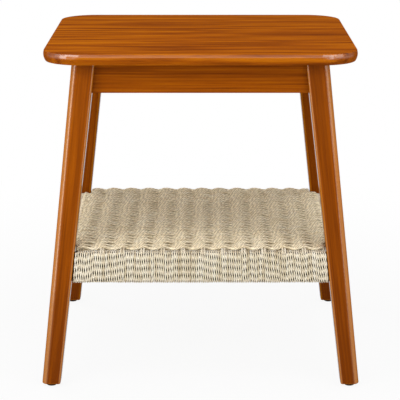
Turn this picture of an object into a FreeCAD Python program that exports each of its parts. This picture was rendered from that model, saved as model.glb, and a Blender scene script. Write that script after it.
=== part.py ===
import FreeCAD, Part
import math
import os

# A small end table: a thin rounded top on four splayed legs, with a woven cord shelf between the legs.
# Millimetres. The origin is on the floor under the middle of the top. X is right, Y is back, Z is up.
# Everything is worked out for the back right quarter and mirrored to the other three.

# Driving dimensions

# Top panel
table_height = 560.0
top_width = 513.0
top_depth = 473.0
top_thickness = 18.0
top_corner_radius = 62.0
top_edge_radius = 19.5  # the edge is one arc in section
top_swell_drop = 7.0  # from the top face down to the line where the edge stands out most
top_arris_rounding = 1.2
top_overhang = 46.8  # from that line in to the outer face of the leg

# Legs
leg_top_size = 38.4
leg_foot_size = 30.6
leg_splay = 60.0  # how far the centre line goes out, each way, from the top down to the floor
leg_outer_radius = 10.0
leg_inner_radius = 4.0
leg_foot_rounding = 2.0

# Glides under the legs
glide_diameter = 17.0
glide_height = 5.0
glide_rounding = 1.8
glide_nail_diameter = 2.6
glide_nail_length = 18.0
glide_nail_head_diameter = 6.5
glide_nail_head_height = 1.2
glide_nail_recess = 1.6

# Aprons
apron_height = 54.5
apron_thickness = 20.0
apron_setback = 9.5  # behind the outer face of the leg, just under the top
apron_rounding = 1.5

# Corner blocks
block_height = 30.0
block_thickness = 22.0
block_leg_gap = 6.0

# Wood screws
block_screw_diameter = 4.0
block_screw_bite = 12.0
top_screw_diameter = 4.5
top_screw_bite = 11.0
top_screw_recess = 8.0
top_screw_spread = 11.0  # from the middle of the block to each screw
screw_head_diameter = 8.0
screw_head_height = 2.4

# Dowels
dowel_diameter = 8.0
dowel_leg_depth = 12.0
dowel_rail_depth = 20.0
fit_clearance = 0.1  # around dowels, screws and nails in their holes

# Shelf rails and the cord wound round them
shelf_height = 227.5  # floor to the top of the winding
rail_height = 46.7
rail_thickness = 20.0
rail_rounding = 3.0
cord_diameter = 3.7
winding_end_gap = 2.0  # between the winding and the leg

# Woven panel
warp_count = 11
warp_margin = 50.3  # from the edge of the panel to the first warp, before the offset
warp_offset = 4.0  # the weave was begun at the left leg and sits a little to the right
warp_gap = 0.4  # between the two cords of a warp
warp_rise = 0.8  # from the top of the winding up to the middle of the warps
ridge_depth = 3.0
panel_setback = 18.0  # from the outer face of the winding in to the border of the weave
weft_lap = 3.0  # how far the weft laps over the winding of the side rails

# One overrun for all cuts
overrun = 5.0

# Sizes that follow
underside = table_height - top_thickness
leg_top_x = top_width / 2 - top_overhang - leg_top_size / 2
leg_top_y = top_depth / 2 - top_overhang - leg_top_size / 2

origin = FreeCAD.Vector(0, 0, 0)
right = FreeCAD.Vector(1, 0, 0)
back = FreeCAD.Vector(0, 1, 0)
up = FreeCAD.Vector(0, 0, 1)
along_block = (right - back).normalize()
quarters = {"front_left": (-1, -1), "front_right": (1, -1), "back_left": (-1, 1), "back_right": (1, 1)}
nodes = {}


def leg_drop_share(height):
    """0 under the top and 1 at the floor."""
    return (underside - height) / underside


def leg_size(height):
    return leg_top_size + (leg_foot_size - leg_top_size) * leg_drop_share(height)


def leg_x(height):
    return leg_top_x + leg_splay * leg_drop_share(height)


def leg_y(height):
    return leg_top_y + leg_splay * leg_drop_share(height)


def inner_x(height):
    """The leg face that a board running left to right meets."""
    return leg_x(height) - leg_size(height) / 2


def inner_y(height):
    """The leg face that a board running front to back meets."""
    return leg_y(height) - leg_size(height) / 2


def mirrored(shape, side, depth):
    """The back right piece, in the quarter with these signs of X and Y."""
    if side < 0:
        shape = shape.mirror(origin, right)
    if depth < 0:
        shape = shape.mirror(origin, back)
    return shape


def in_all_quarters(shapes):
    return [mirrored(shape, *signs) for shape in shapes for signs in quarters.values()]


def quarter_turn(shape):
    """Turns a board at the back, running left to right, to the right side."""
    return shape.rotated(origin, up, -90)


def rounded_rectangle(left, front, width, depth, height, radii):
    """A wire with a radius for each corner, from the front left one round to the right."""
    corners = [(left, front), (left + width, front), (left + width, front + depth), (left, front + depth)]
    ways = [right, back, -right, -back]
    lines = []
    arcs = []
    for index, (x, y) in enumerate(corners):
        corner = FreeCAD.Vector(x, y, height)
        radius = radii[index]
        before = corner - ways[index - 1] * radius
        after = corner + ways[index] * radius
        centre = before + ways[index] * radius
        middle = centre + (corner - centre).normalize() * radius
        arcs.append((before, middle, after))
    for index, (before, middle, after) in enumerate(arcs):
        following = arcs[(index + 1) % len(arcs)][0]
        lines.append(Part.Arc(before, middle, after).toShape())
        lines.append(Part.LineSegment(after, following).toShape())
    return Part.Wire(lines)


def rod(diameter, start, way, length):
    return Part.makeCylinder(diameter / 2, length, start, way)


def board(reach, low, high, middle, thickness, gap=0):
    """A board at the back from leg to leg, whose ends slope as the inner faces of the legs do."""
    outline = [(-1, low), (1, low), (1, high), (-1, high)]
    face_y = middle - thickness / 2
    points = [FreeCAD.Vector(side * (reach(height) - gap), face_y, height) for side, height in outline]
    return Part.Face(Part.makePolygon(points + points[:1])).extrude(back * thickness)


def ease_long_edges(shape, radius):
    by_length = sorted(shape.Edges, key=lambda edge: edge.Length)
    return shape.makeFillet(radius, by_length[-4:])


# Top panel: a flat middle with the edge profile run along each side and turned round each corner


def swell_at(drop):
    """How far the edge arc lies inside its widest line, this far under the top face."""
    return top_edge_radius - math.sqrt(top_edge_radius**2 - (drop - top_swell_drop) ** 2)


def edge_profile(x, y, way):
    """The section of the edge from the corner's centre out to the arc, standing at x, y and facing way."""
    spot = FreeCAD.Vector(x, y, 0)
    upper = spot + way * (top_corner_radius - swell_at(0)) + up * table_height
    widest = spot + way * top_corner_radius + up * (table_height - top_swell_drop)
    lower = spot + way * (top_corner_radius - swell_at(top_thickness)) + up * underside
    inner_low = spot + up * underside
    inner_high = spot + up * table_height
    edges = [
        Part.Arc(upper, widest, lower).toShape(),
        Part.LineSegment(lower, inner_low).toShape(),
        Part.LineSegment(inner_low, inner_high).toShape(),
        Part.LineSegment(inner_high, upper).toShape(),
    ]
    return Part.Face(Part.Wire(edges))


def build_top():
    half_x = top_width / 2 - top_corner_radius
    half_y = top_depth / 2 - top_corner_radius
    corner = FreeCAD.Vector(-half_x, -half_y, underside)
    pieces = [Part.makeBox(2 * half_x, 2 * half_y, top_thickness, corner)]
    for side in (-1, 1):
        pieces.append(edge_profile(side * half_x, -half_y, right * side).extrude(back * 2 * half_y))
        pieces.append(edge_profile(-half_x, side * half_y, back * side).extrude(right * 2 * half_x))
    for side, depth in quarters.values():
        start = right if side == depth else back
        start = FreeCAD.Vector(start.x * side, start.y * depth, 0)
        spot = FreeCAD.Vector(side * half_x, depth * half_y, 0)
        pieces.append(edge_profile(spot.x, spot.y, start).revolve(spot, up, 90))
    panel = pieces[0].fuse(pieces[1:]).removeSplitter()
    by_height = sorted(panel.Faces, key=lambda face: face.CenterOfMass.z)
    arrises = by_height[0].OuterWire.Edges + by_height[-1].OuterWire.Edges
    return panel.makeFillet(top_arris_rounding, arrises)


# Legs: a tapered square with one large rounded corner, which faces outwards


def leg_section(height):
    size = leg_size(height)
    radii = [leg_inner_radius, leg_inner_radius, leg_outer_radius, leg_inner_radius]
    return rounded_rectangle(inner_x(height), inner_y(height), size, size, height, radii)


def build_leg():
    leg = Part.makeLoft([leg_section(glide_height), leg_section(underside)], True, True)
    foot = min(leg.Faces, key=lambda face: face.CenterOfMass.z)
    return leg.makeFillet(leg_foot_rounding, foot.Edges)


# Glides: a domed button with its nail

foot_x = leg_x(glide_height)
foot_y = leg_y(glide_height)


def build_glide():
    base = FreeCAD.Vector(foot_x, foot_y, 0)
    button = rod(glide_diameter, base, up, glide_height)
    rim = [edge for edge in button.Edges if edge.Closed and edge.CenterOfMass.z < glide_height / 2]
    button = button.makeFillet(glide_rounding, rim)
    recess = glide_nail_recess + glide_nail_head_height
    button = button.cut(rod(glide_nail_head_diameter + 2 * fit_clearance, base, up, recess))
    return button.cut(nail_hole())


def nail_hole():
    base = FreeCAD.Vector(foot_x, foot_y, glide_nail_recess)
    return rod(glide_nail_diameter + 2 * fit_clearance, base, up, glide_nail_length + fit_clearance)


def build_nail():
    base = FreeCAD.Vector(foot_x, foot_y, glide_nail_recess)
    head = rod(glide_nail_head_diameter, base, up, glide_nail_head_height)
    return head.fuse(rod(glide_nail_diameter, base, up, glide_nail_length)).removeSplitter()


# Aprons, set behind the outer faces of the legs

apron_low = underside - apron_height
apron_x = leg_top_x + leg_top_size / 2 - apron_setback - apron_thickness / 2
apron_y = leg_top_y + leg_top_size / 2 - apron_setback - apron_thickness / 2


def build_apron(reach, middle):
    return ease_long_edges(board(reach, apron_low, underside, middle, apron_thickness), apron_rounding)


# Shelf rails, centred on the legs at the height of their middle, and the cord sleeve round each

rail_high = shelf_height - cord_diameter
rail_low = rail_high - rail_height
rail_middle = (rail_high + rail_low) / 2
rail_x = leg_x(rail_middle)
rail_y = leg_y(rail_middle)
winding_thickness = rail_thickness + 2 * cord_diameter
winding_low = rail_low - cord_diameter
winding_rounding = rail_rounding + cord_diameter


def build_rail(reach, middle):
    return ease_long_edges(board(reach, rail_low, rail_high, middle, rail_thickness), rail_rounding)


def build_wound_bar(reach, middle):
    """The outer shape of a rail with its cord on, short of the legs."""
    bar = board(reach, winding_low, shelf_height, middle, winding_thickness, winding_end_gap)
    return ease_long_edges(bar, winding_rounding)


# Dowels: two at each end of an apron or a rail, the two boards of a corner taking turns in height

across_dowel_shares = (1 / 5, 3 / 5)  # of the board's height, at the front and back
side_dowel_shares = (2 / 5, 4 / 5)


def corner_dowels(low, board_height, across_y, along_x, extra):
    """The four dowels of one corner, thicker by extra all round when they are holes."""
    diameter = dowel_diameter + 2 * extra
    length = dowel_rail_depth + dowel_leg_depth + 2 * extra
    lead = dowel_rail_depth + extra
    dowels = []
    for share in across_dowel_shares:
        height = low + share * board_height
        dowels.append(rod(diameter, FreeCAD.Vector(inner_x(height) - lead, across_y, height), right, length))
    for share in side_dowel_shares:
        height = low + share * board_height
        dowels.append(rod(diameter, FreeCAD.Vector(along_x, inner_y(height) - lead, height), back, length))
    return dowels


# Corner blocks: a trapezium across each corner, with screws into both aprons and up into the top

block_low = underside - block_height
block_middle = underside - block_height / 2
apron_face_x = apron_x - apron_thickness / 2
apron_face_y = apron_y - apron_thickness / 2
# The outer and inner faces run across the corner, so each is given by the x + y that its points share
block_outer = inner_x(underside) + inner_y(underside) - block_leg_gap * math.sqrt(2)
block_inner = block_outer - block_thickness * math.sqrt(2)


def build_block():
    outline = [
        (block_outer - apron_face_y, apron_face_y),
        (block_inner - apron_face_y, apron_face_y),
        (apron_face_x, block_inner - apron_face_x),
        (apron_face_x, block_outer - apron_face_x),
    ]
    points = [FreeCAD.Vector(x, y, block_low) for x, y in outline]
    return Part.Face(Part.makePolygon(points + points[:1])).extrude(up * block_height)


def screw(seat, way, diameter, length, extra=0):
    """A screw whose head sits on the seat; extra makes it a hole with room for the driver behind the head."""
    head_height = screw_head_height + (block_thickness if extra else 0)
    head = rod(screw_head_diameter + 2 * extra, seat - way * head_height, way, head_height)
    return head.fuse(rod(diameter + 2 * extra, seat, way, length + extra)).removeSplitter()


def block_screws(extra=0):
    sunk = screw_head_diameter / 2 + fit_clearance
    mid_sum = (block_outer + block_inner) / 2
    back_x = mid_sum - apron_face_y
    back_seat = FreeCAD.Vector(back_x, block_inner - back_x + sunk, block_middle)
    side_y = mid_sum - apron_face_x
    side_seat = FreeCAD.Vector(block_inner - side_y + sunk, side_y, block_middle)
    back_length = apron_face_y - back_seat.y + block_screw_bite
    side_length = apron_face_x - side_seat.x + block_screw_bite
    return [
        screw(back_seat, back, block_screw_diameter, back_length, extra),
        screw(side_seat, right, block_screw_diameter, side_length, extra),
    ]


def top_screws(extra=0):
    mid_sum = (block_outer + block_inner) / 2
    middle_x = (mid_sum - apron_face_y + apron_face_x) / 2
    middle = FreeCAD.Vector(middle_x, mid_sum - middle_x, block_low + top_screw_recess)
    length = block_height - top_screw_recess + top_screw_bite
    seats = [middle + along_block * (side * top_screw_spread) for side in (-1, 1)]
    return [screw(seat, up, top_screw_diameter, length, extra) for seat in seats]


# Woven panel: the weft is one ridged sheet with a tunnel for each warp cord, lapped on to the wound rails

panel_half_width = rail_x - winding_thickness / 2 + weft_lap
panel_half_depth = rail_y + winding_thickness / 2 - panel_setback
warp_pitch = 2 * (panel_half_width - warp_margin) / (warp_count - 1)
warp_places = [(row - (warp_count - 1) / 2) * warp_pitch + warp_offset for row in range(warp_count)]
warp_height = shelf_height + warp_rise
crest = cord_diameter + cord_diameter / 2  # above and below the middle of the warps
trough = crest - ridge_depth


def weft_outline(side):
    """The ridged upper outline from left to right where side is 1, or the lower one back where it is -1."""

    def spot(x, rise):
        return FreeCAD.Vector(x, -panel_half_depth, warp_height + side * rise)

    end_x = side * panel_half_width
    half_step = side * warp_pitch / 2
    row = warp_places[::side]
    edges = [Part.LineSegment(spot(-end_x, trough), spot(row[0] - half_step, trough))]
    for place in row:
        before = spot(place - half_step, trough)
        after = spot(place + half_step, trough)
        edges.append(Part.Arc(before, spot(place, crest), after))
    edges.append(Part.LineSegment(spot(row[-1] + half_step, trough), spot(end_x, trough)))
    edges.append(Part.LineSegment(spot(end_x, trough), spot(end_x, -trough)))
    return [edge.toShape() for edge in edges]


def build_weft():
    """The ridged sheet, before anything is cut from it."""
    outline = Part.Wire(weft_outline(1) + weft_outline(-1))
    return Part.Face(outline).extrude(back * 2 * panel_half_depth)


def build_warps():
    start_y = winding_thickness / 2 - rail_y
    aside = (cord_diameter + warp_gap) / 2
    places = [place + side * aside for place in warp_places for side in (-1, 1)]
    starts = [FreeCAD.Vector(place, start_y, warp_height) for place in places]
    return [rod(cord_diameter, start, back, -2 * start_y) for start in starts]


def leg_notch():
    """The corner that the panel leaves free for a leg."""
    highest = warp_height + crest
    corner_x = inner_x(highest) - winding_end_gap
    corner_y = inner_y(highest) - winding_end_gap
    corner = FreeCAD.Vector(corner_x, corner_y, winding_low)
    reach = leg_size(highest) + overrun
    return Part.makeBox(reach, reach, highest - winding_low + overrun, corner)


# Assembly

apron_dowels = corner_dowels(apron_low, apron_height, apron_y, apron_x, 0)
apron_dowel_holes = corner_dowels(apron_low, apron_height, apron_y, apron_x, fit_clearance)
shelf_dowels = corner_dowels(rail_low, rail_height, rail_y, rail_x, 0)
shelf_dowel_holes = corner_dowels(rail_low, rail_height, rail_y, rail_x, fit_clearance)
block_screw_holes = block_screws(fit_clearance)
top_screw_holes = top_screws(fit_clearance)

nodes["table_top"] = build_top().cut(in_all_quarters(top_screw_holes))

leg = build_leg().cut(apron_dowel_holes + shelf_dowel_holes + [nail_hole()])
glide = build_glide()
block = build_block().cut(block_screw_holes + top_screw_holes)
for name, signs in quarters.items():
    nodes["leg_" + name] = mirrored(leg, *signs)
    nodes["glide_" + name] = mirrored(glide, *signs)
    nodes["corner_block_" + name] = mirrored(block, *signs)

apron_holes = in_all_quarters(apron_dowel_holes + block_screw_holes)
apron_at_back = build_apron(inner_x, apron_y).cut(apron_holes)
apron_at_right = quarter_turn(build_apron(inner_y, apron_x)).cut(apron_holes)
nodes["apron_back"] = apron_at_back
nodes["apron_front"] = mirrored(apron_at_back, 1, -1)
nodes["apron_right"] = apron_at_right
nodes["apron_left"] = mirrored(apron_at_right, -1, 1)

rail_holes = in_all_quarters(shelf_dowel_holes)
rail_at_back = build_rail(inner_x, rail_y)
rail_at_right = quarter_turn(build_rail(inner_y, rail_x))
bar_at_back = build_wound_bar(inner_x, rail_y)
bar_at_right = quarter_turn(build_wound_bar(inner_y, rail_x))
wound_bars = []
for name, rail, bar, side, depth in (
    ("back", rail_at_back, bar_at_back, 1, 1),
    ("front", rail_at_back, bar_at_back, 1, -1),
    ("right", rail_at_right, bar_at_right, 1, 1),
    ("left", rail_at_right, bar_at_right, -1, 1),
):
    nodes["shelf_rail_" + name] = mirrored(rail.cut(rail_holes), side, depth)
    nodes["cord_winding_" + name] = mirrored(bar.cut(rail), side, depth)
    wound_bars.append(mirrored(bar, side, depth))

warps = build_warps()
nodes["woven_weft"] = build_weft().cut(wound_bars + in_all_quarters([leg_notch()]) + warps)
nodes["warp_cords"] = Part.makeCompound(warps)

nodes["apron_dowels"] = Part.makeCompound(in_all_quarters(apron_dowels))
nodes["shelf_dowels"] = Part.makeCompound(in_all_quarters(shelf_dowels))
nodes["block_screws"] = Part.makeCompound(in_all_quarters(block_screws()))
nodes["top_screws"] = Part.makeCompound(in_all_quarters(top_screws()))
nodes["glide_nails"] = Part.makeCompound(in_all_quarters([build_nail()]))

os.makedirs("parts", exist_ok=True)
for name, shape in nodes.items():
    shape.exportStep("parts/" + name + ".step")
    state = "valid" if shape.isValid() else "BAD"
    print(name, len(shape.Solids), "solid(s)", round(shape.Volume), "mm3", state)
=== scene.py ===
# %% [markdown]
# # An end table with a woven shelf
# The table is a lacquered wooden frame with a shelf of twisted cord. The wooden pieces come from the CAD
# frame at their real size, so this lesson gives them their finish. The cord is soft and comes in
# thousands of small turns, so it is modelled here: wound round the four rails of the shelf, and woven
# between them. Everything is in metres. X is right, Y is back and Z is up, and the floor is at zero.

import math
import random

import bpy
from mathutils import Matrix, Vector


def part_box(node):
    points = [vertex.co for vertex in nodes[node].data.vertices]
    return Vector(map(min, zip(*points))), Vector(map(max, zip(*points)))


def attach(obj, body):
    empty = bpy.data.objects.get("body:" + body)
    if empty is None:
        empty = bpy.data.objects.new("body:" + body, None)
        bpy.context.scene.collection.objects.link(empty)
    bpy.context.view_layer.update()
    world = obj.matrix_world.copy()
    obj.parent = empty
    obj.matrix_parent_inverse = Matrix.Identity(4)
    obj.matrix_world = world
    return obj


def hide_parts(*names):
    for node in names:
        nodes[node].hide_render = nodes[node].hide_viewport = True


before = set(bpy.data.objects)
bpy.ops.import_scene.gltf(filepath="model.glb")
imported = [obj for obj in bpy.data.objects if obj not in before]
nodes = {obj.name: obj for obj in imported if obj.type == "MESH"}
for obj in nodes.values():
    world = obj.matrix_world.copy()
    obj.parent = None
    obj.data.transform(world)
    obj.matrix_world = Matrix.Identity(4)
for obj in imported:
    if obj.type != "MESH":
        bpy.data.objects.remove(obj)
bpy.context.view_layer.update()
mm = 0.001

# %% [markdown]
# ## The camera
# The photographer stood well back with a long lens and looked down a little, so the legs hardly converge.
# A wide lens from close by would also fill the picture, but it would make the top look larger than the
# feet. The values come from a camera that was fitted to the edges of the table.

# %% Camera
picture_width = 400
focal_length_pixels = 1613.15
camera_place = (0, -2.78305, 0.96819)
camera_pitch = math.radians(14.272)
picture_shift = 0.5 / picture_width  # the fit counts from the middle of a pixel, and the lens from its edge

camera = bpy.data.objects.new("camera", bpy.data.cameras.new("camera"))
bpy.context.collection.objects.link(camera)
camera.data.lens = camera.data.sensor_width * focal_length_pixels / picture_width
camera.location = camera_place
camera.rotation_euler = (math.pi / 2 - camera_pitch, 0, 0)
camera.data.shift_x = -picture_shift
camera.data.shift_y = picture_shift
bpy.context.scene.camera = camera
bpy.context.scene.view_settings.view_transform = "Standard"
print("camera lens", round(camera.data.lens, 1), "mm")

# %% [markdown]
# ## A way to write finishes
# A finish is a web of shader nodes. Each node could be placed and linked by hand, but then a formula such
# as `1 - mask` takes several lines. Here a small class wraps an output, so that Python's own signs add
# the maths nodes, and one method adds any other kind of node.


# %% Shader helper
class Shade:
    """An output of a shader node that can be used in a formula."""

    def __init__(self, tree, socket=None):
        self.tree = tree
        self.socket = socket

    def node(self, kind, settings=None, inputs=None, output=0):
        """Adds a node, sets its settings first, then gives its sockets their values or links."""
        added = self.tree.nodes.new("ShaderNode" + kind)
        for name, value in (settings or {}).items():
            if name == "stops":
                set_stops(added.color_ramp, value)
            else:
                setattr(added, name, value)
        for name, value in (inputs or {}).items():
            self.feed(added.inputs[name], value)
        return Shade(self.tree, added.outputs[output])

    def feed(self, socket, value):
        if isinstance(value, Shade):
            self.tree.links.new(value.socket, socket)
        else:
            socket.default_value = value

    def maths(self, operation, first, second):
        return self.node("Math", {"operation": operation}, {0: first, 1: second})

    def __add__(self, other):
        return self.maths("ADD", self, other)

    def __radd__(self, other):
        return self.maths("ADD", other, self)

    def __sub__(self, other):
        return self.maths("SUBTRACT", self, other)

    def __rsub__(self, other):
        return self.maths("SUBTRACT", other, self)

    def __mul__(self, other):
        return self.maths("MULTIPLY", self, other)

    def __rmul__(self, other):
        return self.maths("MULTIPLY", other, self)


# %% Colours and new finishes
def set_stops(ramp, stops):
    """Gives a colour ramp its stops, each a place and a colour."""
    while len(ramp.elements) < len(stops):
        ramp.elements.new(1)
    for element, (place, colour) in zip(ramp.elements, stops):
        element.position = place
        element.color = colour


def paint(red, green, blue):
    """A colour as a picture shows it, from 0 to 255, as the light that a shader needs."""
    shares = [value / 255 for value in (red, green, blue)]
    return tuple(s / 12.92 if s <= 0.04045 else ((s + 0.055) / 1.055) ** 2.4 for s in shares) + (1,)


def start_finish(name):
    """A new material: the material, its shader, and the place on the piece to read patterns from."""
    material = bpy.data.materials.new(name)
    material.use_nodes = True
    shader = material.node_tree.nodes["Principled BSDF"]
    place = Shade(material.node_tree).node("TexCoord", output="Object")
    return material, shader, place


# %% [markdown]
# ## Lacquered wood
# The wood has fine straight streaks that run along each board, slower light and dark bands, and short
# dark pores. It is stained honey brown and has a clear glossy lacquer. A picture of wood would slide at
# the corners, so the streaks are noise that is stretched along the grain, and the ends, where the fibres
# are cut across, are even. The legs are painted darker towards the feet, a painted shade, and their
# rounded corners are painted paler, a painted highlight. A coat on the shader is the lacquer over the
# stain. A full coat all over would turn the flat top into a grey mirror at this low angle, and the real
# one stays brown. So the coat is full on rounded edges, where lacquer shines most, and thin on the flats,
# which are rubbed down to satin.

# %% Grain
streak_length = 240 * mm
band_size = (900 * mm, 26 * mm, 26 * mm)
pore_size = (14 * mm, 0.7 * mm, 0.7 * mm)
pore_levels = (0.6, 0.74)  # the noise between which a pore begins and is at its darkest


def along_grain(place, grain, size):
    """Stretches a pattern so that one of its cells has this size, with its length along the grain."""
    turn = Vector((1, 0, 0)).rotation_difference(Vector(grain)).to_euler()
    values = {"Vector": place, "Rotation": turn, "Scale": size}
    return place.node("Mapping", {"vector_type": "TEXTURE"}, values)


def noise(place, detail, roughness=0.5):
    values = {"Vector": place, "Scale": 1, "Detail": detail, "Roughness": roughness}
    return place.node("TexNoise", None, values)


# %% Gloss
upward_ends = (-0.12, 0.06)  # how far up a face looks where its shine begins, and where it is full
level_ends = (0.35, 0.6)  # the same where the shine fades again, as the face becomes level
rim_ends = (0.3, 0.6)  # how far a face turns away from the viewer where its shine fades
glancing_ends = (0.88, 0.93)  # the same where it comes back, at a glancing angle


def ramp_of(value, start, end):
    """0 where a value is below the start, 1 where it is past the end, and a straight ramp between."""
    return value.node("MapRange", None, {"Value": value, "From Min": start, "From Max": end})


def mix(factor, first, second):
    """A colour between two others."""
    values = {"Factor": factor, "A": first, "B": second}
    return factor.node("Mix", {"data_type": "RGBA"}, values, output="Result")


def rounded_mask(place, bend):
    """1 on a rounded edge and 0 on a flat face. Bend is how far off square a face begins to count as
    rounded, and where it counts in full."""
    normal = place.node("NewGeometry", output="Normal")
    squares = place.node("VectorMath", {"operation": "MULTIPLY"}, {0: normal, 1: normal})
    both = {0: squares, 1: squares}
    fourths = place.node("VectorMath", {"operation": "DOT_PRODUCT"}, both, output="Value")
    return ramp_of(2 - 2 * fourths, *bend)


def gloss_mask(place, bend):
    """Where the lacquer shines: 1 on a rounded edge, unless it faces down, up or away, and on any face
    that is seen at a glancing angle."""
    normal = place.node("NewGeometry", output="Normal")
    height = place.node("SeparateXYZ", None, {"Vector": normal}, output="Z")
    upward = ramp_of(height, *upward_ends)
    level = ramp_of(height, *level_ends)
    facing = place.node("LayerWeight", None, {"Blend": 0.5}, output="Facing")
    rim = ramp_of(facing, *rim_ends)
    glancing = ramp_of(facing, *glancing_ends)
    shining = rounded_mask(place, bend) * upward * (1 - level) * (1 - rim)
    return place.maths("MAXIMUM", shining, glancing)


# %% Lacquered wood
dark_stain = paint(107, 48, 5)
honey_stain = paint(142, 70, 6)
light_stain = paint(168, 92, 8)
pore_stain = paint(92, 32, 6)
# A paler stain painted on the rounded corners of the legs: a painted highlight.
highlight_stain = paint(222, 142, 28)
stain_reach = 0.16  # from the middle tone to the darkest and the lightest stain
pore_share = 0.25
end_grain_tone = 0.48
# Below this height the legs are painted darker towards the feet: a painted shade.
foot_shade_height = 0.4  # metres above the floor, where a leg begins to darken towards its foot
# how far off square a corner begins to get the painted highlight, and where it is full
highlight_bend = (0.1, 0.6)
thin_coat = 0.02
full_coat = 0.98


def lacquered_wood(name, grain, streak_width, band_share, contrast, bend, lift, painted_foot_shade=0, painted_highlight=0):
    """Contrast and lift set how much the stain varies and how pale it is, the foot shade how much darker it
    is painted at a foot, a painted shade, and the highlight how far rounded corners go to a paler stain, a
    painted highlight."""
    material, shader, place = start_finish(name)
    streaks = noise(along_grain(place, grain, (streak_length, streak_width, streak_width)), 5, 0.62)
    bands = noise(along_grain(place, grain, band_size), 2)
    pores = ramp_of(noise(along_grain(place, grain, pore_size), 2), *pore_levels)
    tone = (1 - band_share) * streaks + band_share * bands + lift
    endwise = {0: place.node("NewGeometry", output="Normal"), 1: Vector(grain).normalized()}
    end_share = place.node("VectorMath", {"operation": "DOT_PRODUCT"}, endwise, output="Value")
    tone = tone - end_share * end_share * (tone - end_grain_tone)
    # painted shade: the stain darkens towards the foot
    if painted_foot_shade:
        height = place.node("SeparateXYZ", None, {"Vector": place}, output="Z")
        ends = {"From Min": 0, "From Max": foot_shade_height, "To Min": painted_foot_shade, "To Max": 0}
        tone = tone - place.node("MapRange", None, {"Value": height, **ends})
    reach = stain_reach / contrast
    stops = [(0.5 - reach, dark_stain), (0.5, honey_stain), (0.5 + reach, light_stain)]
    stain = place.node("ValToRGB", {"stops": stops}, {"Fac": tone})
    colour = mix(pore_share * pores, stain, pore_stain)
    # painted highlight: rounded corners turn towards a paler stain
    if painted_highlight:
        colour = mix(painted_highlight * rounded_mask(place, highlight_bend), colour, highlight_stain)
    bump = place.node("Bump", None, {"Strength": 0.06, "Distance": 0.1 * mm, "Height": 1 - pores})
    place.feed(shader.inputs["Base Color"], colour)
    place.feed(shader.inputs["Roughness"], 0.4 + 0.16 * streaks)
    place.feed(shader.inputs["Normal"], bump)
    shader.inputs["Specular IOR Level"].default_value = 0
    place.feed(shader.inputs["Coat Weight"], thin_coat + (full_coat - painted_highlight) * gloss_mask(place, bend))
    shader.inputs["Coat Roughness"].default_value = 0.14
    shader.inputs["Coat IOR"].default_value = 1.8
    return material


def dress(node_name, material):
    """Gives a CAD node a finish in place of its plain one."""
    node = nodes[node_name]
    for slot in node.material_slots:
        slot.material = material


# %% Dress the lacquered pieces
fine_streaks = 3.2 * mm
top_streaks = 12 * mm
edge_bend = (0.01, 0.08)
corner_bend = (0.08, 0.35)
top_look = {"streak_width": top_streaks, "band_share": 0.1, "contrast": 1.4, "bend": edge_bend, "lift": 0.01}
fine_look = {"streak_width": fine_streaks, "band_share": 0.28, "bend": corner_bend}
apron_look = {**fine_look, "contrast": 1, "lift": -0.02}
leg_look = {**fine_look, "contrast": 0.6, "lift": -0.1, "painted_foot_shade": 0.16, "painted_highlight": 0.36}
dress("table_top", lacquered_wood("lacquered_wood_top", (1, 0, 0), **top_look))
grain_across = lacquered_wood("lacquered_wood_across", (1, 0, 0), **apron_look)
grain_along = lacquered_wood("lacquered_wood_along", (0, 1, 0), **apron_look)
for name in ("apron_front", "apron_back"):
    dress(name, grain_across)
for name in ("apron_left", "apron_right"):
    dress(name, grain_along)
for side in ("left", "right"):
    for end in ("front", "back"):
        name = end + "_" + side
        low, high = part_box("leg_" + name)
        glide_low, glide_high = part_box("glide_" + name)
        foot = (glide_low + glide_high) / 2
        top = Vector((low.x + high.x - foot.x, low.y + high.y - foot.y, high.z))
        dress("leg_" + name, lacquered_wood("lacquered_wood_leg_" + name, top - foot, **leg_look))
print("dressed the lacquered pieces")

# %% [markdown]
# ## Bare wood, plastic and steel
# What is hidden is plainer: planed wood in the blocks and dowels, and the same wood painted near black in
# the rails under the cord, a painted shade for the dark between the turns. The glides are black moulded
# plastic, and the screws and nails are zinc plated steel. Each still has its own grain, speckle or
# brushing, because a flat colour looks like no material at all.

# %% Plain finishes
def matt_wood(name, grain, dark, light):
    material, shader, place = start_finish(name)
    streaks = noise(along_grain(place, grain, (streak_length, fine_streaks, fine_streaks)), 4, 0.6)
    colour = place.node("ValToRGB", {"stops": [(0.35, dark), (0.65, light)]}, {"Fac": streaks})
    place.feed(shader.inputs["Base Color"], colour)
    place.feed(shader.inputs["Roughness"], 0.6 + 0.2 * streaks)
    shader.inputs["Specular IOR Level"].default_value = 0.1
    return material


def black_plastic():
    material, shader, place = start_finish("black_plastic")
    speckle = noise(along_grain(place, (1, 0, 0), (0.8 * mm, 0.8 * mm, 0.8 * mm)), 2)
    stops = [(0.35, paint(17, 16, 16)), (0.65, paint(30, 29, 29))]
    place.feed(shader.inputs["Base Color"], place.node("ValToRGB", {"stops": stops}, {"Fac": speckle}))
    place.feed(shader.inputs["Roughness"], 0.42 + 0.14 * speckle)
    shader.inputs["Specular IOR Level"].default_value = 0.15
    bump = place.node("Bump", None, {"Strength": 0.15, "Distance": 0.05 * mm, "Height": speckle})
    place.feed(shader.inputs["Normal"], bump)
    return material


def plated_steel():
    material, shader, place = start_finish("plated_steel")
    brushing = noise(along_grain(place, (0, 0, 1), (6 * mm, 0.2 * mm, 0.2 * mm)), 2)
    stops = [(0.3, paint(168, 166, 162)), (0.7, paint(206, 205, 201))]
    place.feed(shader.inputs["Base Color"], place.node("ValToRGB", {"stops": stops}, {"Fac": brushing}))
    place.feed(shader.inputs["Roughness"], 0.25 + 0.2 * brushing)
    shader.inputs["Metallic"].default_value = 1
    return material


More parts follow.
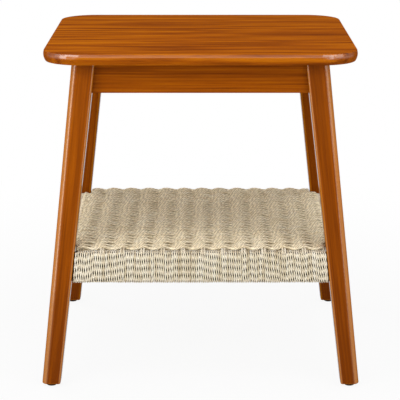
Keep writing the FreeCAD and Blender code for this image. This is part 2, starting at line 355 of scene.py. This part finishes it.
planed = matt_wood("bare_wood", (1, 0, 0), paint(150, 112, 72), paint(196, 160, 112))
# The rails are painted near black, a painted shade for the dark between the turns of cord.
rail_shade_tones = (paint(34, 24, 16), paint(56, 40, 27))
rail_across = matt_wood("shade_painted_rail_across", (1, 0, 0), *rail_shade_tones)
rail_along = matt_wood("shade_painted_rail_along", (0, 1, 0), *rail_shade_tones)
glide_plastic = black_plastic()
fastener_steel = plated_steel()
for name in nodes:
    if name.startswith(("corner_block", "apron_dowels", "shelf_dowels")):
        dress(name, planed)
    elif name in ("shelf_rail_front", "shelf_rail_back"):
        dress(name, rail_across)
    elif name in ("shelf_rail_left", "shelf_rail_right"):
        dress(name, rail_along)
    elif name.startswith("glide_nails") or name.endswith("screws"):
        dress(name, fastener_steel)
    elif name.startswith("glide"):
        dress(name, glide_plastic)
print("dressed the hidden pieces, glides and fasteners")

# %% [markdown]
# ## Cord
# The cord is pale straw, twisted from two plies in the tight winding, which shows rows of small dark
# gaps, and from three in the warps and the weave, which show finer strokes. A plain round tube would hide
# the twist. Tilting the points of a bevelled curve would also twist it, but Blender stops a tilt at sixty
# turns, and the cord on one rail has several hundred. So a ring with a dent for each groove is screwed up
# into a straight twisted cord, which a curve then bends along its route. The dents are marked in an
# attribute, from which the finish darkens the grooves: a painted shade.

# %% Cord finish
warp_low, warp_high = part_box("warp_cords")
cord = warp_high.z - warp_low.z
# Grooves between the plies are darkened towards this brown: a painted shade.
groove_shade_colour = paint(112, 88, 56)
fibre_size = (0.5 * mm, 2 * mm, 2 * mm)
patch_length = 60 * mm
tone_places = (0.32, 0.5, 0.68)  # where the noise gives the dark, the middle and the light tone


def twisted_cord(name, across, patch_width, patch_share, groove_shade, tones):
    """The finish of the cord. Across is the direction from one length to the next, the patches are lengths
    that differ a little, and the groove shade is how far the grooves are darkened, a painted shade."""
    material, shader, place = start_finish(name)
    lengths = noise(along_grain(place, across, (patch_width, patch_length, patch_length)), 1)
    fibres = noise(along_grain(place, across, fibre_size), 3, 0.6)
    tone = patch_share * lengths + (1 - patch_share) * fibres
    stops = list(zip(tone_places, tones))
    colour = place.node("ValToRGB", {"stops": stops}, {"Fac": tone})
    groove = place.node("Attribute", {"attribute_name": "groove"}, output="Fac")
    # painted shade: the grooves are darkened
    place.feed(shader.inputs["Base Color"], mix(groove_shade * groove, colour, groove_shade_colour))
    place.feed(shader.inputs["Roughness"], 0.62 + 0.2 * fibres)
    bump = place.node("Bump", None, {"Strength": 0.3, "Distance": 0.2 * mm, "Height": fibres})
    place.feed(shader.inputs["Normal"], bump)
    shader.inputs["Specular IOR Level"].default_value = 0.2
    return material


pale_tones = (paint(204, 186, 152), paint(240, 229, 205), paint(250, 245, 231))
warm_tones = (paint(216, 195, 154), paint(249, 235, 203), paint(254, 248, 230))
wound_look = {"patch_width": 3 * mm, "patch_share": 0.6, "groove_shade": 0.45, "tones": pale_tones}
woven_look = {"patch_width": 7 * mm, "patch_share": 0.3, "groove_shade": 0.8, "tones": warm_tones}
cord_beside_x = twisted_cord("twisted_cord_beside_x", (1, 0, 0), **wound_look)
cord_beside_y = twisted_cord("twisted_cord_beside_y", (0, 1, 0), **wound_look)
weft_finish = twisted_cord("twisted_cord_weft", (0, 1, 0), **woven_look)
print("cord is", round(cord / mm, 2), "mm thick")

# %% Cord maker
corners_per_ply = {2: 4, 3: 3}
groove_share = 0.45  # how far from the middle of the cord the grooves are, as a share of its radius
groove_limit_share = 0.6  # what is nearer to the middle than this is in a groove
lay = 22 * mm  # one full turn of the plies of a cord that isn't wound
ring_spacing = 2 * mm


def lay_route(route):
    """The line that a cord follows, as a curve. Each step of the route is a point and a small extra twist."""
    data = bpy.data.curves.new("route", "CURVE")
    data.dimensions = "3D"
    spline = data.splines.new("NURBS")
    spline.points.add(len(route) - 1)
    for point, (place, tilt) in zip(spline.points, route):
        point.co = (*place, 1)
        point.tilt = tilt
    spline.order_u = 3
    spline.use_endpoint_u = True
    spline.resolution_u = 3
    line = bpy.data.objects.new("route", data)
    bpy.context.collection.objects.link(line)
    return line, spline.calc_length()


# %% Straight and bent cord
def spin_cord(length, twists, plies, plumpness):
    """A straight closed cord that stands on the origin, with this many full twists of its plies."""
    bpy.ops.object.select_all(action="DESELECT")
    bpy.ops.mesh.primitive_circle_add(vertices=plies * corners_per_ply[plies], radius=cord / 2)
    piece = bpy.context.object
    bpy.ops.object.mode_set(mode="EDIT")
    bpy.ops.mesh.select_all(action="DESELECT")
    bpy.ops.object.mode_set(mode="OBJECT")
    for ply in range(plies):
        piece.data.vertices[ply * corners_per_ply[plies]].select = True
    bpy.ops.object.mode_set(mode="EDIT")
    bpy.ops.transform.resize(value=(groove_share, groove_share, 1), center_override=(0, 0, 0))
    bpy.ops.mesh.select_all(action="SELECT")
    bpy.ops.transform.resize(value=(1, plumpness, 1), center_override=(0, 0, 0))
    bpy.ops.object.mode_set(mode="OBJECT")
    twist = piece.modifiers.new("twist", "SCREW")
    twist.axis = "Z"
    twist.angle = -math.tau * twists
    twist.screw_offset = length
    twist.steps = round(length / ring_spacing)
    twist.render_steps = twist.steps
    bpy.ops.object.modifier_apply(modifier="twist")
    groove = piece.data.attributes.new("groove", "FLOAT", "POINT")
    limit = groove_limit_share * cord / 2
    groove.data.foreach_set("value", [vertex.co.xy.length < limit for vertex in piece.data.vertices])
    bpy.ops.object.mode_set(mode="EDIT")
    bpy.ops.mesh.select_all(action="SELECT")
    bpy.ops.mesh.fill_holes(sides=0)
    bpy.ops.mesh.normals_make_consistent(inside=False)
    bpy.ops.object.mode_set(mode="OBJECT")
    bpy.ops.object.shade_smooth()
    return piece


def bend_cord(piece, line):
    """Bends a straight cord along its line, which is then taken away."""
    bend = piece.modifiers.new("bend", "CURVE")
    bend.object = line
    bend.deform_axis = "POS_Z"
    bpy.context.view_layer.objects.active = piece
    bpy.ops.object.modifier_apply(modifier="bend")
    bpy.data.objects.remove(line)


# %% Copies and joins
def twin_of(piece):
    """A copy of a piece with a mesh of its own."""
    twin = piece.copy()
    twin.data = piece.data.copy()
    bpy.context.collection.objects.link(twin)
    return twin


def join(pieces):
    """Makes one piece of several, with its place in the mesh."""
    bpy.ops.object.select_all(action="DESELECT")
    for piece in pieces:
        piece.select_set(True)
    bpy.context.view_layer.objects.active = pieces[0]
    bpy.ops.object.transform_apply(location=True, rotation=True, scale=True)
    bpy.ops.object.join()
    return pieces[0]


def hand_over(piece, name, material, replaced):
    """Names and finishes a piece of cord, which stands for a CAD node."""
    piece.name = name
    piece.data.materials.append(material)
    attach(piece, "root")
    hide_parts(replaced)
    print("made", name, "with", len(piece.data.polygons), "faces")


# %% [markdown]
# ## The cord wound round the rails
# Each rail is wrapped from leg to leg in one unbroken length of cord. The turns could be rings, but a
# real winding climbs from one turn to the next, so the route goes round the rail while it moves along it,
# and its end closes against the leg. The rail's ends lean with the legs, so the turns spread a little
# towards the bottom. Each turn has eleven half twists, a whole number, so the gaps of neighbouring turns
# line up in rows. But each turn is a little out of step with the one before, and the rows rise and fall.

# %% Winding values
turn_pitch = 3.68 * mm
leg_lean_share = 63.9 / 542  # how far the inner face of a leg goes out on its way down
rail_rounding = 3 * mm
points_on_long_face = 5
points_on_short_face = 2
points_on_corner = 3
half_lays_per_turn = 10.94  # half twists in a turn; the bends round the rail make it up to eleven
hidden_share = 0.3  # the twist changes this share of a turn before a turn starts, inside the shelf
wound_plumpness = 0.56  # how thick the tight winding is, as a share of a round cord
phase_drift = 0.42  # how far a turn is out of step with the one before
phase_jitter = 0.15
closing_share = 0.45  # the last turn goes on by this share of a turn, close to the leg
end_reach = 1.2 * mm  # how far the cord goes past the end of its CAD sleeve, towards the leg
chance = random.Random(7)
print("turns are", round(turn_pitch / mm, 2), "mm apart")


# %% Winding routes
def loop_round_rail(half_thickness, half_height, radius):
    """Points round the section of a rail, as steps out from and up from its middle."""
    corners = [(1, 1), (1, -1), (-1, -1), (-1, 1)]
    loop = []
    for index, (out, up) in enumerate(corners):
        start_angle = math.pi / 2 - index * math.pi / 2
        arc = []
        for step in range(points_on_corner):
            angle = start_angle - step * math.pi / 2 / (points_on_corner - 1)
            arc_out = out * (half_thickness - radius) + radius * math.cos(angle)
            arc_up = up * (half_height - radius) + radius * math.sin(angle)
            arc.append(Vector((arc_out, arc_up)))
        if loop:
            loop += straight_points(loop[-1], arc[0])
        loop += arc
    return loop + straight_points(loop[-1], loop[0])


def straight_points(start, end):
    """Points between two corners of the loop, more of them on a high face than on a narrow one."""
    high_face = abs(end.y - start.y) > abs(end.x - start.x)
    count = points_on_long_face if high_face else points_on_short_face
    return [start.lerp(end, step / (count + 1)) for step in range(1, count + 1)]


def wandering_phases(turns):
    """An extra twist for each turn, which wanders, so that the rows of gaps rise and fall."""
    phases = []
    phase = 0
    for turn in range(turns):
        phase += chance.gauss(0, phase_drift)
        phases.append(phase + chance.gauss(0, phase_jitter))
    return phases


def winding_route(rail_name, winding_name, along, outward):
    """The cord from one end of a rail to the other. Along is the axis of the rail, 0 for X and 1 for Y."""
    rail_low, rail_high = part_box(rail_name)
    low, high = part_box(winding_name)
    across = 1 - along
    middle = (rail_low + rail_high) / 2
    half_thickness = (rail_high[across] - rail_low[across]) / 2 + cord / 2
    half_height = (rail_high.z - rail_low.z) / 2 + cord / 2
    loop = loop_round_rail(half_thickness, half_height, cord / 2 + rail_rounding)
    longest = high[along] - cord / 2 + end_reach
    turns = round((2 * longest - leg_lean_share * (high.z - low.z)) / turn_pitch)
    phases = wandering_phases(turns + 2)
    route = []
    total = turns * len(loop)
    closing_steps = round(closing_share * len(loop))
    for step in range(total + closing_steps + 1):
        turn = step / len(loop)
        out, up = loop[step % len(loop)]
        reach = longest - leg_lean_share * (middle.z + up - low.z)
        place = [0, 0, middle.z + up]
        place[along] = reach * min(1, 2 * step / total - 1)
        place[across] = middle[across] + outward * out
        route.append((place, phases[int(turn + hidden_share)]))
    return route, turns + closing_share


# %% Windings
for name, along, outward, material in (
    ("front", 0, -1, cord_beside_x),
    ("back", 0, 1, cord_beside_x),
    ("left", 1, -1, cord_beside_y),
    ("right", 1, 1, cord_beside_y),
):
    route, turns = winding_route("shelf_rail_" + name, "cord_winding_" + name, along, outward)
    line, length = lay_route(route)
    piece = spin_cord(length, turns * half_lays_per_turn / 2, 2, wound_plumpness)
    bend_cord(piece, line)
    hand_over(piece, "wound_cord_" + name, material, "cord_winding_" + name)

# %% [markdown]
# ## The warp cords
# Pairs of cord are stretched from the front rail to the back rail, and the shelf is woven on them. They
# are hidden in the weave, but at each end they come out from under its border, lie on the wound rail and
# go down into it. One warp is made and copied, because they are all alike.

# %% Warps
warp_gap = 0.4 * mm
warp_count = 11
first_warp = warp_low.x + cord + warp_gap / 2
last_warp = warp_high.x - cord - warp_gap / 2
warp_pitch = (last_warp - first_warp) / (warp_count - 1)
warp_z = (warp_low.z + warp_high.z) / 2
front_low, front_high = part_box("cord_winding_front")
# The points at an end, in millimetres in from the front of the shelf, and up
end_steps = ((30, 0.2), (20, 0.9), (14, 1.2), (9, 1.0), (5, -0.6), (2.5, -3.2))
warp_middle_points = 24
loose_plies = 3  # the cord that isn't wound is rounder, and shows finer strokes


def warp_route():
    ends = [(front_low.y + inward * mm, rise * mm) for inward, rise in end_steps]
    reach = -ends[0][0]
    line = list(reversed(ends))
    for step in range(1, warp_middle_points):
        line.append((-reach + 2 * reach * step / warp_middle_points, 0))
    line += [(-y, rise) for y, rise in ends]
    return [((0, y, warp_z + rise), 0) for y, rise in line]


warp_places = [first_warp + index * warp_pitch for index in range(warp_count)]
cord_places = [place + side * (cord + warp_gap) / 2 for place in warp_places for side in (-1, 1)]
line, length = lay_route(warp_route())
first = spin_cord(length, length / lay, loose_plies, 1)
bend_cord(first, line)
warps = [first] + [twin_of(first) for place in cord_places[1:]]
for warp, place in zip(warps, cord_places):
    warp.location.x = place
hand_over(join(warps), "warp_cord_pairs", cord_beside_x, "warp_cords")

# %% [markdown]
# ## The weft
# The weft is twined: in each row two doubled strands wind round each other, and a warp goes through
# between them at every half turn. So one strand passes over each warp in every row, and the rows stack up
# to a ridge along the warp. Between the warps the strands sag, and swing out between those of the next
# rows. Plain weaving, over one warp and under the next, would give a pattern like bricks.
# A textured sheet would be quicker, but its edge would be straight, and here the strands at the edge
# bulge between the warps.

# %% Weft values
weft_low, weft_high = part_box("woven_weft")
left_low, left_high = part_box("cord_winding_left")
weft_rows = 50
row_pitch = (weft_high.y - weft_low.y) / weft_rows
cords_of_row = [(strand, twin) for strand in (-1, 1) for twin in (-1, 1)]
points_per_warp = 8
landing = 9 * mm  # the stretch in which the strands part and lie down beside each other
tuck = 2 * mm  # how far the ends go on before they go down into the wound rail
winding_rounding = rail_rounding + cord
strand_swing = 0.75 * row_pitch  # how far a strand swings to the front and back
border_swing = 0.25 * row_pitch
twin_spread = 0.46 * cord  # how far each cord of a strand is from the middle of the strand
weft_sag = 1.5 * mm  # how far the weft hangs between the warps
stack_share = 0.6  # how far the cords of a strand stand on each other where the strands cross
stack = 0.8 * cord  # how much higher the upper cord of a strand lies on the side rail
row_lift = 0.7 * mm  # every other row is looser and this much higher, and the rest are lower
row_unevenness = 0.2 * mm
row_wander = 0.12
run_jitter = 0.12 * mm
border_rise = 0.8 * mm
border_press = 0.35 * cord  # how high the middle of a cord is over the winding that it lies on
border_bulge = 2 * mm  # how far the outermost rows bulge out between the warps
border_retreat = 4 * mm  # how far their strand stays back where it goes under a warp
winding_inner_y = -front_high.y
crest_z = warp_z + 1.5 * cord
leg_inner_x = front_high.x - leg_lean_share * (crest_z - front_low.z)
leg_inner_y = left_high.y - leg_lean_share * (crest_z - left_low.z)
print("weft rows are", round(row_pitch / mm, 2), "mm apart")


# %% Weft routes
def on_winding(y):
    """The height of the wound front or back rail at this place, or nothing where there is none."""
    inward = abs(y) - winding_inner_y
    if inward < 0:
        return 0
    if inward > winding_rounding:
        return front_high.z
    height = math.sqrt(winding_rounding**2 - (winding_rounding - inward) ** 2)
    return front_high.z - winding_rounding + height


def weft_run(row, strand, twin, phase, lift):
    """One cord of a row from the left rail to the right one."""
    axis_y = weft_low.y + (row + 0.5) * row_pitch
    border = {0: -1, weft_rows - 1: 1}.get(row, 0)
    end = row_end(row)
    swing = border_swing if border else strand_swing
    landed_y = axis_y + strand * row_pitch / 4
    landed_z = left_high.z + border_press + max(0, twin) * stack
    aside = chance.gauss(0, run_jitter)
    count = round(2 * end / (warp_pitch / points_per_warp))
    run = []
    for index in range(count + 1):
        x = -end + 2 * end * index / count
        turn = math.pi * (x - first_warp) / warp_pitch + phase
        over, beside = math.cos(turn), math.sin(turn)
        y = axis_y + strand * swing * beside + twin * twin_spread * over + aside
        z = warp_z + lift + strand * cord * over - stack_share * twin * twin_spread * beside
        z -= weft_sag * beside**2
        y += border * (border_bulge * beside**2 - border_retreat * max(0, -strand * over))
        z += max(0, -border) * border_rise * over**2
        z = max(z, on_winding(y) + border_press)
        flat = max(0, 1 - (end - abs(x)) / landing)
        run.append((x, y + (landed_y - y) * flat, z + (landed_z - z) * flat))
    sunk = left_high.z - cord
    beyond = 0 if end == leg_inner_x else tuck
    return [(-end - beyond, landed_y, sunk), *run, (end + beyond, landed_y, sunk)]


def row_end(row):
    """How far a row reaches to the sides: to the legs at the front and back, and on to the rails between."""
    nearest = abs(weft_low.y + (row + 0.5) * row_pitch) + row_pitch / 2
    return leg_inner_x if nearest > leg_inner_y else weft_high.x


# %% Weft rows
def weave_row(row):
    """The four cords of a row. Each is a twin of one straight cord, stretched to its own length."""
    phase = chance.gauss(0, row_wander)
    lift = (row_lift if row % 2 else -row_lift) + chance.gauss(0, row_unevenness)
    cords = []
    for strand, twin in cords_of_row:
        run = weft_run(row, strand, twin, phase, lift)
        line, length = lay_route([(place, 0) for place in run])
        piece = twin_of(straight_cord)
        piece.rotation_euler.z = chance.uniform(0, math.tau)
        piece.scale.z = length / straight_length
        bend_cord(join([piece]), line)
        cords.append(piece)
    return cords


# %% Weft
weft_pieces = 10
rows_per_piece = weft_rows // weft_pieces
straight_length = 2 * weft_high.x
straight_cord = spin_cord(straight_length, straight_length / lay, loose_plies, 1)
for number in range(weft_pieces):
    cords = []
    for row in range(number * rows_per_piece, (number + 1) * rows_per_piece):
        cords += weave_row(row)
    hand_over(join(cords), "weft_cord_%d" % (number + 1), weft_finish, "woven_weft")
bpy.data.objects.remove(straight_cord)

# %% [markdown]
# ## Floor and backdrop
# The table stands on white paper in a studio. A plain white plane would go grey in its own shade, so for
# the camera it is a white light, with some of a real surface left round the table to keep its shadow. The
# paper goes on behind the table as far as the camera sees, so it is the backdrop as well.

# %% Floor
floor_size = 40
floor_drop = 0.2 * mm
paper_share = 0.08
paper_fade = (0.3, 1.3)  # metres from the middle, where the shadow starts to fade and where it is gone
paper_grey = (0.55, 0.55, 0.55, 1)
white = (1, 1, 1, 1)

bpy.ops.object.select_all(action="DESELECT")
bpy.ops.mesh.primitive_plane_add(size=floor_size, location=(0, 0, -floor_drop))
floor = bpy.context.object
floor.name = "floor"
paper = bpy.data.materials.new("paper")
paper.use_nodes = True
paper.node_tree.nodes.clear()
web = Shade(paper.node_tree)
rays = ("Is Camera Ray", "Is Glossy Ray", "Is Transmission Ray")
by_camera, by_gloss, by_glass = [web.node("LightPath", output=name) for name in rays]
seen = web.maths("MAXIMUM", by_camera, web.maths("MAXIMUM", by_gloss, by_glass))
spot = web.node("TexCoord", output="Object")
distance = web.node("VectorMath", {"operation": "LENGTH"}, {0: spot}, output="Value")
fade_ends = {"From Min": paper_fade[0], "From Max": paper_fade[1], "To Min": paper_share, "To Max": 0}
fade = web.node("MapRange", {"interpolation_type": "SMOOTHSTEP"}, {"Value": distance, **fade_ends})
matt = web.node("BsdfDiffuse", None, {"Color": paper_grey})
glow = web.node("Emission", None, {"Color": white, "Strength": 1})
mixed = web.node("MixShader", None, {0: seen * (1 - fade), 1: matt, 2: glow})
output = paper.node_tree.nodes.new("ShaderNodeOutputMaterial")
web.feed(output.inputs["Surface"], mixed)
floor.data.materials.append(paper)
print("laid the floor")

# %% [markdown]
# ## Lights
# A broad soft box and an upright strip on either side draw the bright lines down the legs, and the left
# ones light one flank of every ridge of the weave. Two boxes in front, a little above the camera, reach
# in under the top as far as the back of the shelf, and a long low one behind the camera lights the edge
# of the top. One overhead lights the top, and two behind keep the back of the table from going black.
# Hard lamps would give sharp shadows that the photograph doesn't have.

# %% Lights
ambient = 0.5
middle = Vector((0, 0, 0.35))


def soft_box(name, place, width, height, power):
    """A lamp of this size in metres and this power in watts, which faces the middle of the table."""
    data = bpy.data.lights.new(name, "AREA")
    data.shape = "RECTANGLE"
    data.size = width
    data.size_y = height
    data.energy = power
    lamp = bpy.data.objects.new(name, data)
    bpy.context.collection.objects.link(lamp)
    lamp.location = place
    lamp.rotation_euler = (middle - Vector(place)).to_track_quat("-Z", "Y").to_euler()


soft_box("left_box", (-1.9, -1.1, 1.0), 1.5, 1.2, 4.5)
soft_box("right_box", (1.9, -1.3, 1.0), 1.0, 1.2, 6.5)
soft_box("left_strip", (-1.9, -1.48, 0.5), 0.8, 1.0, 9)
soft_box("right_strip", (1.3, -1.9, 0.5), 0.4, 1.0, 3.5)
soft_box("front_box", (0, -3.4, 0.72), 3.2, 0.6, 6)
soft_box("high_left_box", (-0.9, -1.6, 1.2), 1.2, 0.8, 11.5)
soft_box("high_right_box", (0.9, -1.6, 1.2), 1.2, 0.8, 7)
soft_box("top_box", (0, -0.5, 2.2), 1.6, 1.2, 20)
soft_box("back_left_box", (-2, 1.6, 1.2), 1.0, 1.2, 20)
soft_box("back_right_box", (2, 1.6, 1.2), 1.0, 1.2, 9)

world = bpy.data.worlds.new("studio")
bpy.context.scene.world = world
world.use_nodes = True
room = world.node_tree.nodes["Background"]
room.inputs["Color"].default_value = white
room.inputs["Strength"].default_value = ambient
print("lit by", len(bpy.data.lights), "soft boxes and the room")
